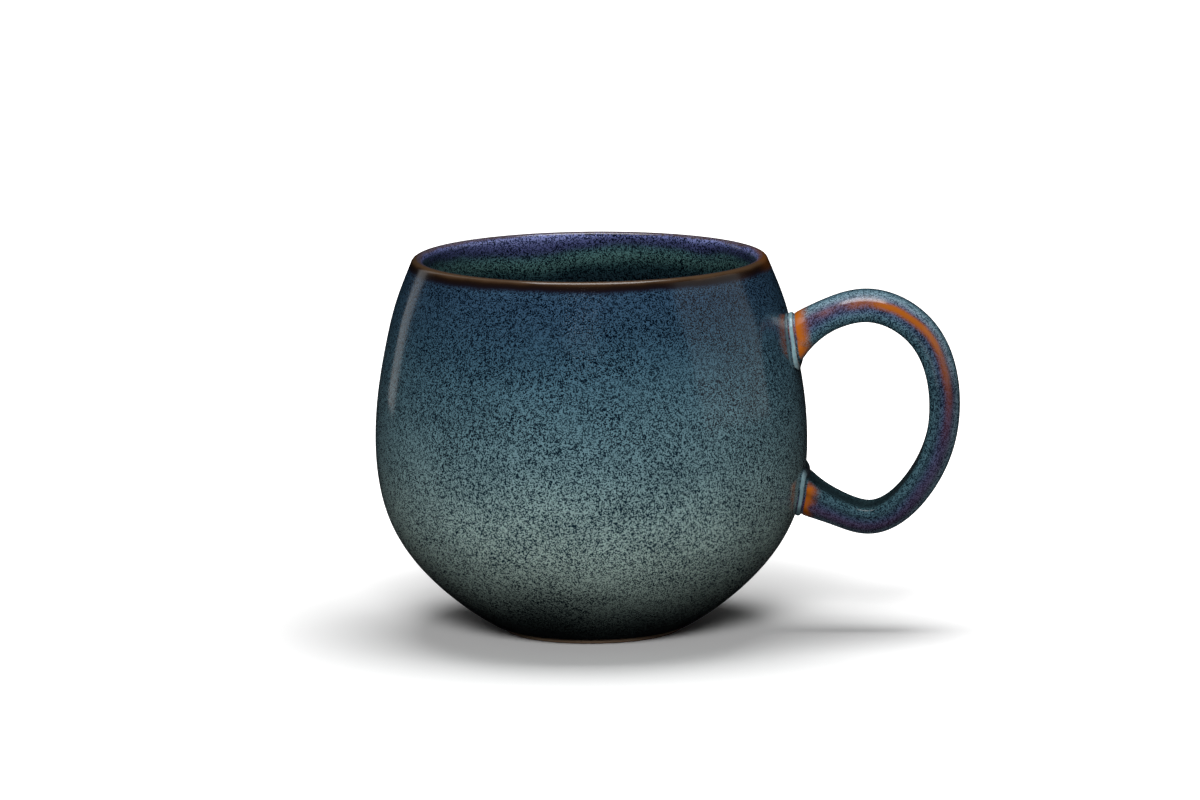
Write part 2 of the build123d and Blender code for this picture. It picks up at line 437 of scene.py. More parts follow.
@dataclass(frozen=True)
class GlazeFinish:
    """A glossy reactive glaze.

    Attributes:
        coat: Which coat it is.
        gloss: Roughness of the glassy skin.
        cloud_size: How many clouds to the metre.
        cloud_depth: How strongly the clouds show.
        ripple: Strength of the slow ripples.
        dark: What the mean colour is multiplied by in the dark glaze.
        light: What it is multiplied by in the light grains.
    """

    coat: Coat
    gloss: float = 0.13
    cloud_size: float = 38.0
    cloud_depth: float = 0.34
    ripple: float = 1.0
    dark: Colour = (0.03, 0.08, 0.13)
    light: Colour = (2.5, 2.25, 2.1)

    def build(self, effects: Effects) -> bpy.types.Material:
        """Make the material.

        Args:
            effects: The shared node groups.

        Returns:
            The material.
        """
        material, graph, shader = new_material(self.coat.value)
        place = graph.place()
        grain = effects.use(graph, effects.speckle, Place=place).outputs["Grain"]
        dark, light, over, share = self._layers(graph, place)
        layered = effects.use(
            graph,
            effects.reactive,
            Place=place,
            Grain=grain,
            Dark=dark,
            Light=light,
            Cloud_size=self.cloud_size,
            Cloud_depth=self.cloud_depth,
        )
        colour = layered.outputs["Colour"]
        if over is not None:
            colour = graph.mix(share, colour, over)
        graph.feed(shader.inputs["Base Color"], colour)
        skin = graph.span(graph.noise(place, 160.0, 2.0), 0.3, 0.7, self.gloss * 0.8, self.gloss * 1.25)
        graph.feed(shader.inputs["Roughness"], skin)
        graph.feed(shader.inputs["Specular IOR Level"], self._sheen(graph, place))
        relief = effects.use(graph, effects.relief, Place=place, Ripple=self.ripple)
        bump = graph.add("ShaderNodeBump", {"Height": relief.outputs["Height"]})
        bump.inputs["Strength"].default_value = 1.0
        bump.inputs["Distance"].default_value = 1.0
        graph.feed(shader.inputs["Normal"], bump.outputs["Normal"])
        return material

    def _sheen(self, graph: Graph, place: bpy.types.NodeSocket) -> object:
        """How glassy the skin is: full up the wall, dry towards the foot."""
        if self.coat is not Coat.OUTSIDE:
            return 0.5
        height = graph.add("ShaderNodeSeparateXYZ", {0: place}).outputs[2]
        return graph.span(height, 2 * MM, 30 * MM, 0.06, 0.42)

    def _layers(self, graph: Graph, place: bpy.types.NodeSocket) -> tuple:
        """Colours of the dark glaze and the grains, and of what lies over them with its share."""
        parts = graph.add("ShaderNodeSeparateXYZ", {0: place})
        height = self._wandering_height(graph, place, parts.outputs[2])
        over: object = None
        share: object = 0.0
        if self.coat in (Coat.OUTSIDE, Coat.RIM, Coat.INSIDE):
            radius = graph.radius(parts)
            over_lip = graph.span(radius, LIP_CIRCLE - 0.5 * MM, LIP_CIRCLE + 0.3 * MM)
            if self.coat is Coat.OUTSIDE:
                tone = self._outside_tone_and_foot_shade(graph, height)
            elif self.coat is Coat.INSIDE:
                tone = self._inside_tone_and_painted_shade(graph, height)
            else:
                inside = self._inside_tone_and_painted_shade(graph, height)
                tone = graph.mix(over_lip, inside, self._outside_tone_and_foot_shade(graph, height))
            over, share = self._lip_layer(graph, place, parts.outputs[2], over_lip)
            dark, light = self._split(graph, tone)
            return dark, light, over, share
        if self.coat is Coat.HANDLE:
            return self._handle_layers(graph, place)
        return (0.004, 0.010, 0.014), (0.02, 0.05, 0.06), None, 0.0

    def _wandering_height(self, graph: Graph, place: bpy.types.NodeSocket, height: bpy.types.NodeSocket):
        """Height with the edge of each band wandering a little, as a share of the bowl's height."""
        drift = graph.math("MULTIPLY", graph.math("SUBTRACT", graph.noise(place, 28.0, 2.0), 0.5), 9 * MM)
        return graph.math("DIVIDE", graph.math("ADD", height, drift), BOWL_TOP)

    def _outside_tone_and_foot_shade(self, graph: Graph, height: bpy.types.NodeSocket) -> bpy.types.NodeSocket:
        """Mean colour down the outside wall: dry and almost black at the foot, partly the thin glaze's own
        colour and partly painted shade, then pale, then teal, then navy.
        """
        stops = [
            # The two lowest stops, near black, are partly the thin glaze's own colour and partly painted
            # shade under the belly.
            (0.04, (0.004, 0.006, 0.007)),
            (0.11, (0.03, 0.045, 0.045)),
            (0.20, (0.16, 0.23, 0.22)),
            (0.33, (0.20, 0.30, 0.30)),
            (0.50, (0.09, 0.17, 0.20)),
            (0.75, (0.03, 0.08, 0.12)),
            (0.93, (0.012, 0.03, 0.06)),
            (1.00, (0.02, 0.05, 0.09)),
        ]
        return graph.ramp(height, stops)

    def _inside_tone_and_painted_shade(self, graph: Graph, height: bpy.types.NodeSocket) -> bpy.types.NodeSocket:
        """Mean colour down the inside wall: violet, a pale teal band, then almost black, which is painted
        shade deep in the bowl.
        """
        stops = [
            # The stops up to 0.912, almost black, are painted shade deep inside the bowl.
            (0.100, (0.0050, 0.0120, 0.0160)),
            (0.700, (0.0050, 0.0120, 0.0160)),
            (0.880, (0.0050, 0.0120, 0.0180)),
            (0.912, (0.0080, 0.0250, 0.0320)),
            (0.935, (0.0420, 0.1000, 0.1000)),
            (0.954, (0.0340, 0.0900, 0.1050)),
            (0.966, (0.0200, 0.0260, 0.0700)),
            (0.985, (0.0450, 0.0600, 0.1600)),
            (1.000, (0.1100, 0.1400, 0.3100)),
        ]
        return graph.ramp(height, stops)

    def _split(self, graph: Graph, tone: object) -> tuple:
        """Dark glaze and light grains about a mean colour."""
        dark = graph.mix(1.0, tone, self.dark, "MULTIPLY")
        light = graph.add("ShaderNodeVectorMath", {0: tone, 1: self.light}, operation="MULTIPLY")
        return dark, light.outputs["Vector"]

    def _lip_layer(self, graph: Graph, place: object, height: object, over_lip: object) -> tuple:
        """Iron brown where the glaze runs thin over the lip, almost black at its edge."""
        wander = graph.math("MULTIPLY", graph.math("SUBTRACT", graph.noise(place, 90.0, 3.0), 0.5), 1.2 * MM)
        level = graph.math("ADD", height, wander)
        stops = [
            (0.00, (0.0100, 0.0110, 0.0260)),
            (0.35, (0.0080, 0.0055, 0.0070)),
            (0.72, (0.0130, 0.0065, 0.0040)),
            (0.88, (0.0420, 0.0210, 0.0100)),
            (1.00, (0.0950, 0.0560, 0.0300)),
        ]
        colour = graph.ramp(graph.span(level, LIP_TOP - 2.8 * MM, LIP_TOP), stops)
        warm = graph.math("MULTIPLY", graph.span(graph.noise(place, 30.0, 1.0), 0.56, 0.72), 0.7)
        colour = graph.mix(warm, colour, (0.20, 0.066, 0.012))
        outer = graph.span(level, LIP_TOP - 3.0 * MM, LIP_TOP - 1.7 * MM)
        inner = graph.span(level, LIP_TOP - 0.75 * MM, LIP_TOP - 0.15 * MM, 0.0, 0.75)
        return colour, graph.math("MAXIMUM", graph.math("MULTIPLY", outer, over_lip), inner)

    def _handle_layers(self, graph: Graph, place: bpy.types.NodeSocket) -> tuple:
        """Colours round the handle, by how far a point is round the section and along the loop, with a
        painted highlight as the crown's lighter band at 0.84 and painted shade darkening the crown's middle
        at 1.00.
        """
        around = graph.add("ShaderNodeAttribute", attribute_name="around").outputs["Fac"]
        along = graph.add("ShaderNodeAttribute", attribute_name="along").outputs["Fac"]
        off_wall = graph.add("ShaderNodeAttribute", attribute_name="off_wall").outputs["Fac"]
        drift = graph.math("MULTIPLY", graph.math("SUBTRACT", graph.noise(place, 110.0, 3.0), 0.5), 0.10)
        around = graph.math("ADD", around, drift)
        dark = [
            (0.00, (0.003, 0.008, 0.012)),
            (0.34, (0.003, 0.010, 0.016)),
            (0.50, (0.004, 0.018, 0.032)),
            (0.60, (0.008, 0.008, 0.030)),
            (0.74, (0.014, 0.012, 0.032)),
            # Painted highlight: the crown's lighter band just above the shoulder line.
            (0.84, (0.030, 0.075, 0.110)),
            (0.93, (0.010, 0.034, 0.055)),
            # Painted shade: the crown's middle, darkened along the handle's outer edge.
            (1.00, (0.004, 0.012, 0.020)),
        ]
        light = [
            (0.00, (0.050, 0.100, 0.115)),
            (0.34, (0.060, 0.125, 0.150)),
            (0.50, (0.095, 0.200, 0.250)),
            (0.60, (0.085, 0.100, 0.215)),
            (0.74, (0.140, 0.110, 0.200)),
            # Painted highlight: the crown's lighter band just above the shoulder line.
            (0.84, (0.320, 0.500, 0.590)),
            (0.93, (0.140, 0.260, 0.330)),
            # Painted shade: the crown's middle, darkened along the handle's outer edge.
            (1.00, (0.040, 0.085, 0.115)),
        ]
        shoulder = graph.math("ABSOLUTE", graph.math("SUBTRACT", around, 0.665))
        line = graph.span(shoulder, 0.095, 0.01)
        patches = graph.noise(place, 70.0, 2.0)
        strength = graph.span(along, 0.62, 0.30, 0.25, 1.0)
        line = graph.math("MULTIPLY", line, graph.math("MULTIPLY", graph.span(patches, 0.28, 0.55), strength))
        warm = graph.mix(graph.span(along, 0.35, 0.62), (0.42, 0.115, 0.012), (0.085, 0.022, 0.055))
        near_joint = graph.math("MULTIPLY", graph.span(off_wall, 1.3, 1.8), graph.span(off_wall, 5.5, 2.2))
        blotch = graph.math("MULTIPLY", near_joint, graph.span(graph.noise(place, 150.0, 2.0), 0.30, 0.46))
        blotch = graph.math("MULTIPLY", blotch, graph.span(around, 0.30, 0.42))
        pooled = graph.math("MULTIPLY", graph.span(off_wall, 1.15, 0.95), graph.span(off_wall, 0.12, 0.3))
        pooled = graph.math("MULTIPLY", pooled, graph.span(around, 0.10, 0.45, 0.25, 1.0))
        colour = graph.mix(blotch, warm, (0.50, 0.130, 0.010))
        share = graph.math("MAXIMUM", line, blotch)
        pale = graph.mix(graph.noise(place, 1500.0, 1.0), (0.12, 0.22, 0.26), (0.34, 0.52, 0.56))
        colour = graph.mix(pooled, colour, pale)
        share = graph.math("MAXIMUM", share, pooled, clamp=True)
        return graph.ramp(around, dark), graph.ramp(around, light), colour, share


@dataclass(frozen=True)
class ClayFinish:
    """Bare fired stoneware.

    Attributes:
        name: The material's name.
        body: Colour of the clay.
        turning: Strength of the turned rings.
    """

    name: str
    body: Colour = (0.30, 0.205, 0.135)
    turning: float = 0.0

    def build(self, effects: Effects) -> bpy.types.Material:
        """Make the material.

        Args:
            effects: The shared node groups.

        Returns:
            The material.
        """
        material, graph, shader = new_material(self.name)
        clay = effects.use(graph, effects.clay, Place=graph.place(), Body=self.body, Turning=self.turning)
        graph.feed(shader.inputs["Base Color"], clay.outputs["Colour"])
        graph.feed(shader.inputs["Roughness"], clay.outputs["Rough"])
        bump = graph.add("ShaderNodeBump", {"Height": clay.outputs["Height"]})
        bump.inputs["Distance"].default_value = 1.0
        graph.feed(shader.inputs["Normal"], bump.outputs["Normal"])
        return material


# ---------------------------------------------------------------------------------------------
# Shaping
# ---------------------------------------------------------------------------------------------


def deselect() -> None:
    """Leave object mode clean, with nothing selected."""
    if bpy.context.mode != "OBJECT":
        bpy.ops.object.mode_set(mode="OBJECT")
    bpy.ops.object.select_all(action="DESELECT")


def take(piece: bpy.types.Object) -> None:
    """Make one piece the selected and active one."""
    deselect()
    piece.select_set(True)
    bpy.context.view_layer.objects.active = piece


def throw(name: str, section: np.ndarray, segments: int) -> bpy.types.Object:
    """Raise a round wall ring by ring, as on a wheel.

    Args:
        name: The piece's name.
        section: Radius and height of each ring. A radius of nought closes the wall at a pole.
        segments: How many sides each ring has.

    Returns:
        The piece, in object mode, with its first and last rings open unless they are poles.
    """
    deselect()
    rings = [(max(float(radius), 0.02 * MM), float(height)) for radius, height in section]
    radius, height = rings[0]
    bpy.ops.mesh.primitive_circle_add(vertices=segments, radius=radius, location=(0, 0, height))
    piece = bpy.context.object
    piece.name = name
    bpy.ops.object.transform_apply(location=True, rotation=True, scale=True)
    bpy.ops.object.mode_set(mode="EDIT")
    bpy.ops.mesh.select_all(action="SELECT")
    for (radius, height), (next_radius, next_height) in zip(rings, rings[1:]):
        bpy.ops.mesh.extrude_region_move(TRANSFORM_OT_translate={"value": (0, 0, next_height - height)})
        scale = next_radius / radius
        bpy.ops.transform.resize(value=(scale, scale, 1), center_override=(0, 0, next_height))
    bpy.ops.mesh.select_all(action="SELECT")
    bpy.ops.mesh.remove_doubles(threshold=0.012 * MM)
    bpy.ops.mesh.normals_make_consistent(inside=False)
    bpy.ops.object.mode_set(mode="OBJECT")
    return piece


def thicken(piece: bpy.types.Object, thickness: float, outward: bool) -> None:
    """Give an open wall its thickness behind the face that shows.

    Args:
        piece: The open wall.
        thickness: How thick the coat is.
        outward: Whether its faces already point to the side that shows.
    """
    take(piece)
    if not outward:
        bpy.ops.object.mode_set(mode="EDIT")
        bpy.ops.mesh.select_all(action="SELECT")
        bpy.ops.mesh.flip_normals()
        bpy.ops.object.mode_set(mode="OBJECT")
    wall = piece.modifiers.new("Coat", "SOLIDIFY")
    wall.thickness = thickness
    wall.offset = -1
    bpy.ops.object.modifier_apply(modifier=wall.name)


def finish_piece(
    piece: bpy.types.Object, node: str, material: bpy.types.Material, angle: float = 40
) -> None:
    """Smooth a piece, dress it, and tie it to the frame.

    Args:
        piece: The finished shape.
        node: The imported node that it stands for.
        material: Its finish.
        angle: Edges sharper than this many degrees stay sharp.
    """
    take(piece)
    bpy.ops.object.shade_smooth_by_angle(angle=math.radians(angle))
    piece.data.materials.clear()
    piece.data.materials.append(material)
    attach(piece, "root")
    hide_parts(node)
    LOG.info("%s: %d faces for %s", piece.name, len(piece.data.polygons), node)


# ---------------------------------------------------------------------------------------------
# The bowl
# ---------------------------------------------------------------------------------------------

BOWL_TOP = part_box("bowl")[1].z
LIP_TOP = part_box("rim_glaze")[1].z
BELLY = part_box("bowl")[1].x - 0.014 * MM
GLAZE = LIP_TOP - BOWL_TOP
LIP_CIRCLE = 38.3 * MM


@dataclass
class Bowl:
    """The thrown bowl with its foot ring, and the four coats of glaze on it.

    Attributes:
        effects: The shared node groups.
        belly_height: Height of the widest ring.
        lip_thickness: Thickness of the clay at the lip.
        lip_lean: How far the wall leans in at the lip, in degrees.
        wall: Thickness of the clay wall.
        floor_top: Height of the inside of the floor.
        foot_radius: Outside of the foot ring.
        foot_width: Width of the foot ring.
        foot_land: Height of the foot ring's upright edge.
        foot_flare: Angle at which the wall leaves the foot, in degrees.
        segments: Sides of each ring.
    """

    effects: Effects
    belly_height: float = 44.0 * MM
    lip_thickness: float = 1.9 * MM
    lip_lean: float = 22.0
    wall: float = 3.6 * MM
    floor_top: float = 6.2 * MM
    foot_radius: float = 19.8 * MM
    foot_width: float = 3.6 * MM
    foot_land: float = 0.8 * MM
    foot_flare: float = 27.0
    segments: int = 180

    def outside(self, count: int) -> np.ndarray:
        """Outside of the clay, from the foot's land up to the lip."""
        lean = math.radians(self.lip_lean)
        half = self.lip_thickness / 2
        lip = (LIP_CIRCLE + half * math.cos(lean), BOWL_TOP - half + half * math.sin(lean))
        foot = (self.foot_radius, self.foot_land)
        belly = (BELLY, self.belly_height)
        lower = [self._between(foot, belly, out, up) for up, out in ((0.22, 0.495), (0.54, 0.876))]
        upper = [self._between(belly, lip, out, up) for up, out in ((0.26, 0.09), (0.52, 0.3), (0.76, 0.575))]
        flare = math.radians(self.foot_flare)
        leaving = (math.cos(flare), math.sin(flare))
        arriving = (-math.sin(lean), math.cos(lean))
        return SmoothLine((foot, *lower, belly, *upper, lip), leaving, arriving).trace(count)

    def inside(self, count: int) -> np.ndarray:
        """Inside of the clay, from the lip down to the middle of the floor."""
        lean = math.radians(self.lip_lean / 2)
        half = self.lip_thickness / 2
        lip = (LIP_CIRCLE - half * math.cos(lean), BOWL_TOP - half - half * math.sin(lean))
        shell = beside(self.outside(401), -self.wall)
        marks = [tuple(shell[int(400 * share)]) for share in (0.88, 0.72, 0.55, 0.4, 0.25)]
        leaving = (math.sin(lean), -math.cos(lean))
        return SmoothLine((lip, *marks, (0.0, self.floor_top)), leaving, (-1.0, 0.0)).trace(count)

    def _between(self, low: Point2, high: Point2, out: float, up: float) -> Point2:
        """The point a share of the way out and a share of the way up between two points."""
        return (low[0] + out * (high[0] - low[0]), low[1] + up * (high[1] - low[1]))

    def _lip(self, grow: float, count: int) -> np.ndarray:
        """The round of the lip, let out by a thickness of glaze."""
        half = self.lip_thickness / 2
        return arc((LIP_CIRCLE, BOWL_TOP - half), half + grow, self.lip_lean, 180 + self.lip_lean / 2, count)

    def make(self) -> None:
        """Shape and dress every piece of the bowl."""
        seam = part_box("rim_glaze")[0].z
        skin_out = beside(self.outside(400), GLAZE)
        skin_in = beside(self.inside(400), GLAZE)
        lip = self._lip(GLAZE, 26)
        self._outer_coat(skin_out, seam)
        self._rim_coat(skin_out, lip, skin_in, seam)
        self._inner_coat(skin_in, seam)
        self._base_coat()
        self._clay()

    def _outer_coat(self, skin: np.ndarray, seam: float) -> None:
        """The coat outside, from its rolled edge at the foot up to the rim band."""
        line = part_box("outer_glaze")[0].z
        wall = skin[(skin[:, 1] > line + 0.5 * MM) & (skin[:, 1] < seam)]
        wall = np.vstack([wall[::5], self._crossing(skin, seam)])
        clay = self.outside(400)
        start = clay[np.searchsorted(clay[:, 1], line)]
        edge = [
            (start[0] + 0.02 * MM, start[1] - 0.05 * MM),
            (start[0] + 0.32 * MM, start[1] - 0.09 * MM),
            (start[0] + 0.62 * MM, start[1] + 0.04 * MM),
        ]
        piece = throw("outer_coat", np.vstack([edge, wall]), self.segments)
        thicken(piece, GLAZE, outward=True)
        finish_piece(piece, "outer_glaze", GlazeFinish(Coat.OUTSIDE).build(self.effects))

    def _rim_coat(self, skin_out: np.ndarray, lip: np.ndarray, skin_in: np.ndarray, seam: float) -> None:
        """The band over the lip."""
        rise = np.vstack([self._crossing(skin_out, seam), skin_out[skin_out[:, 1] > seam + 0.1 * MM][::2]])
        fall = np.vstack([skin_in[skin_in[:, 1] > seam + 0.1 * MM][::2], self._crossing(skin_in, seam)])
        piece = throw("rim_coat", np.vstack([rise, lip[1:-1], fall]), self.segments)
        thicken(piece, GLAZE, outward=True)
        finish_piece(piece, "rim_glaze", GlazeFinish(Coat.RIM, gloss=0.16).build(self.effects))

    def _inner_coat(self, skin: np.ndarray, seam: float) -> None:
        """The liner coat, from the rim band down to the floor."""
        wall = skin[skin[:, 1] < seam - 0.1 * MM][::5]
        section = np.vstack([self._crossing(skin, seam), wall, [(0, skin[-1][1])]])
        piece = throw("inner_coat", section, self.segments)
        thicken(piece, GLAZE, outward=False)
        finish_piece(piece, "inner_glaze", GlazeFinish(Coat.INSIDE).build(self.effects))

    def _base_coat(self) -> None:
        """The glaze in the foot's recess, pooled and drawn up at the ring."""
        low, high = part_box("base_glaze")
        edge = high.x - 0.05 * MM
        pool = [(0, low.z), (edge * 0.5, low.z), (edge - 2.2 * MM, low.z)]
        meniscus = [
            (edge - 0.9 * MM + 0.9 * MM * math.sin(turn), low.z - 0.7 * MM * (1 - math.cos(turn)))
            for turn in np.linspace(0, 1.35, 7)
        ]
        piece = throw("base_coat", np.array(pool + meniscus), self.segments)
        thicken(piece, high.z - low.z - 0.02 * MM, outward=False)
        finish = GlazeFinish(Coat.BASE, cloud_size=90.0).build(self.effects)
        finish_piece(piece, "base_glaze", finish)

    def _clay(self) -> None:
        """The clay bowl, closed all round: recess, foot ring, wall, lip, inside and floor."""
        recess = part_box("base_glaze")[1].z
        ring_in = self.foot_radius - self.foot_width
        soft = 0.55 * MM
        under = [(0, recess), (ring_in * 0.5, recess), (ring_in - soft, recess)]
        inner_edge = arc((ring_in + soft, soft), soft, 180, 270, 7)
        tread = [(ring_in + self.foot_width * share, 0.0) for share in (0.35, 0.5, 0.65)]
        outer_edge = arc((self.foot_radius - soft, soft), soft, 270, 360, 7)
        lip = self._lip(0.0, 16)
        foot = [under, [(ring_in, recess - soft)], inner_edge, tread, outer_edge]
        section = np.vstack([*foot, self.outside(60), lip[1:-1], self.inside(60)])
        piece = throw("clay_bowl", section, self.segments)
        finish_piece(piece, "bowl", ClayFinish("bare_clay", turning=1.0).build(self.effects), 50)

    def _crossing(self, line: np.ndarray, height: float) -> np.ndarray:
        """The point where a line of the wall crosses a height, as one row."""
        order = np.argsort(line[:, 1])
        return np.array([[np.interp(height, line[order, 1], line[order, 0]), height]])


# ---------------------------------------------------------------------------------------------
# The handle
# ---------------------------------------------------------------------------------------------


@dataclass
class Handle:
    """The coat on the loop handle and on the two collars of slip that join it to the wall.

    Attributes:
        effects: The shared node groups.
        bowl: The bowl that it stands on.
        width: Width of the clay's section.
        thickness: Thickness of the clay's section.
        shoulder_width: Width between the two shoulders.
        shoulder_height: Height of the shoulders above the inner side.
        flare_length: How far along the loop each end flares.
        flare_thickness: How much thicker an end is.
        flare_width: How much wider an end is.
        rings: How many rings follow the loop.
        sides: How many sides each ring has.
    """

    effects: Effects
    bowl: Bowl
    width: float = 13.7 * MM
    thickness: float = 5.9 * MM
    shoulder_width: float = 10.2 * MM
    shoulder_height: float = 3.9 * MM
    flare_length: float = 15.0 * MM
    flare_thickness: float = 3.6 * MM
    flare_width: float = 2.0 * MM
    rings: int = 150
    sides: int = 96

    def path(self) -> SmoothLine:
        """Middle line of the loop, from the upper joint round to the lower one."""
        upper = BOWL_TOP - 18.6 * MM
        lower = 31.0 * MM
        rise, drop, root = 8.4 * MM, 6.3 * MM, 2.5 * MM
        crown, outermost = BELLY + 14.0 * MM, BELLY + 31.0 * MM
        side = (crown + 2.3 * outermost) / 3.3
        shoulder = (crown + BELLY) / 2
        points = (
            (self._wall_radius(upper) - root, upper - root / 2),
            (shoulder, upper + 0.83 * rise),
            (crown, upper + rise),
            (side, upper + 0.3 * rise),
            (outermost, (upper + lower) / 2 + rise / 3),
            (side, lower + 0.38 * drop),
            (crown, lower - drop),
            (shoulder, lower - 0.7 * drop),
            (self._wall_radius(lower) - root, lower + root / 2),
        )
        return SmoothLine(points, (1.0, 1.0), (-1.0, 0.75))

    def _wall_radius(self, height: float) -> float:
        """Radius of the clay's outside at a height."""
        line = self.bowl.outside(400)
        return float(np.interp(height, line[:, 1], line[:, 0]))

    def section(self) -> tuple[np.ndarray, np.ndarray]:
        """The glazed section, and how far round it each point is.

        Returns:
            Rows of width and height off the middle, and for each a share from 0 at the middle of the
            inner side to 1 at the crown.
        """
        half, shoulder = self.width / 2 + GLAZE, self.shoulder_width / 2 + GLAZE
        low, high = -self.thickness / 2 - GLAZE, self.thickness / 2 + GLAZE
        bend = low + self.shoulder_height + GLAZE
        lean = math.degrees(math.atan2(half - shoulder, bend - low))
        edge, soft = 1.35 * MM, 3.0 * MM
        rise = high - bend
        crown_radius = (shoulder**2 + rise**2) / (2 * rise)
        reach = math.degrees(math.asin(shoulder / crown_radius))
        inner = [(0.0, low), (half * 0.4, low - 0.05 * MM)]
        corner = arc((half - edge * 1.1, low + edge), edge, -88, lean, 9)
        face = [(half - (half - shoulder) * 0.45 - 0.10 * MM, low + (bend - low) * 0.5)]
        ridge_centre = (shoulder - soft * math.cos(math.radians(lean)) + 0.05 * MM, bend - soft * 0.50)
        ridge = arc(ridge_centre, soft, lean + 6, 90 - reach, 9)
        crown = arc((0.0, high - crown_radius), crown_radius, 90 - reach * 0.42, 90, 6)
        right = np.vstack([inner, corner, face, ridge, crown])
        lengths = np.concatenate([[0], np.cumsum(np.linalg.norm(np.diff(right, axis=0), axis=1))])
        stations = np.linspace(0, lengths[-1], self.sides // 2 + 1)
        smooth = np.stack([np.interp(stations, lengths, right[:, side]) for side in (0, 1)], axis=1)
        for _ in range(4):
            smooth[1:-1] = (smooth[:-2] + 2 * smooth[1:-1] + smooth[2:]) / 4
        left = smooth[-2:0:-1] * np.array([-1, 1])
        share = stations / lengths[-1]
        return np.vstack([smooth, left]), np.concatenate([share, share[-2:0:-1]])

    def make(self) -> None:
        """Wrap a sheet round the loop, seat its two ends on the wall, and dress it."""
        line = self.path().trace(900)
        section, around = self.section()
        normals = self._section_normals(section)
        collar = ((-0.3, 0.45), (0.0, 0.5), (0.4, 0.55), (0.75, 0.5), (1.0, 0.35), (1.15, 0.1))
        groove = ((1.25, -0.12), (1.4, -0.15), (1.65, -0.05), (2.2, 0.0), (3.0, 0.0))
        seats = collar + groove
        starts = [self._meet(line, section, normals, off, grow, 1) for off, grow in seats]
        ends = [self._meet(line, section, normals, off, grow, -1) for off, grow in seats]
        share = np.linspace(0, 1, self.rings)[1:-1]
        rows = [self._ring(line, section, normals, at, grow) for at, (_, grow) in zip(starts, seats)]
        along = list(starts)
        for part in share:
            at = starts[-1] + (ends[-1] - starts[-1]) * part
            rows.append(self._ring(line, section, normals, at, 0.0))
            along.append(at)
        for at, (_, grow) in zip(reversed(ends), reversed(seats)):
            rows.append(self._ring(line, section, normals, at, grow))
            along.append(at)
        self._wrap(np.array(rows), np.array(along), around)
        self._core(line, section, normals)
        self._slip("upper_slip", "upper_slip_joint", line, section, normals, 1)
        self._slip("lower_slip", "lower_slip_joint", line, section, normals, -1)

    def _core(self, line: np.ndarray, section: np.ndarray, normals: np.ndarray) -> None:
        """The clay of the handle, let into the wall at both ends."""
        sides = len(section)
        marks = np.linspace(0.004, 0.996, self.rings)
        rows = [self._ring(line, section, normals, np.full(sides, at), -0.55) for at in marks]
        piece = self._tube("clay_handle", np.array(rows), {})
        self._close(piece)
        finish_piece(piece, "handle", ClayFinish("handle_clay").build(self.effects), 60)

    def _slip(
        self, name: str, node: str, line: np.ndarray, section: np.ndarray, normals: np.ndarray, side: int
    ) -> None:
        """One collar of slip, pressed between the handle's end and the wall."""
        seats = ((-1.2, 0.0), (-0.45, 0.05), (0.35, 0.08), (0.75, 0.0), (1.05, -0.3), (1.15, -0.5))
        rows = [
            self._ring(line, section, normals, self._meet(line, section, normals, off, grow, side), grow)
            for off, grow in seats
        ]
        piece = self._tube(name, np.array(rows), {})
        self._close(piece)
        if "slip" not in bpy.data.materials:
            ClayFinish("slip", body=(0.34, 0.27, 0.20)).build(self.effects)
        finish_piece(piece, node, bpy.data.materials["slip"], 60)

    def _close(self, piece: bpy.types.Object) -> None:
        """Cap the two open ends of a tube."""
        take(piece)
        bpy.ops.object.mode_set(mode="EDIT")
        bpy.ops.mesh.select_all(action="SELECT")
        bpy.ops.mesh.fill_holes(sides=0)
        bpy.ops.mesh.select_all(action="SELECT")
        bpy.ops.mesh.normals_make_consistent(inside=False)
        bpy.ops.object.mode_set(mode="OBJECT")

    def _section_normals(self, section: np.ndarray) -> np.ndarray:
        """Which way is out of the section at each of its points."""
        ahead = np.roll(section, -1, axis=0) - np.roll(section, 1, axis=0)
        out = np.stack([ahead[:, 1], -ahead[:, 0]], axis=1)
        return out / np.linalg.norm(out, axis=1)[:, None]

    def _ring(
        self, line: np.ndarray, section: np.ndarray, normals: np.ndarray, at: np.ndarray, grow: float
    ) -> np.ndarray:
        """Where the section's points lie, each at its own share of the way along the loop.

        Args:
            line: The loop's middle line.
            section: The section's points.
            normals: Which way is out at each of them.
            at: Share of the way along the loop for each point.
            grow: How far the section is let out, in millimetres.

        Returns:
            One row of x, y and z for each point.
        """
        marks = np.linspace(0, 1, len(line))
        middle = np.stack([np.interp(at, marks, line[:, 0]), np.interp(at, marks, line[:, 1])], axis=1)
        steps = np.gradient(line, axis=0)
        heading = np.stack([np.interp(at, marks, steps[:, 0]), np.interp(at, marks, steps[:, 1])], axis=1)
        heading /= np.linalg.norm(heading, axis=1)[:, None]
        outward = np.stack([-heading[:, 1], heading[:, 0]], axis=1)
        length = float(np.linalg.norm(np.diff(line, axis=0), axis=1).sum())
        to_end = np.minimum(at, 1 - at) * length
        flare = np.clip(1 - to_end / self.flare_length, 0, None) ** 2
        wide = section[:, 0] * (1 + flare * self.flare_width / self.width)
        high = section[:, 1] * (1 + flare * self.flare_thickness / self.thickness)
        wide = wide + normals[:, 0] * grow * MM
        high = high + normals[:, 1] * grow * MM
        across = middle[:, 0] + outward[:, 0] * high
        up = middle[:, 1] + outward[:, 1] * high
        return np.stack([across, wide, up], axis=1)

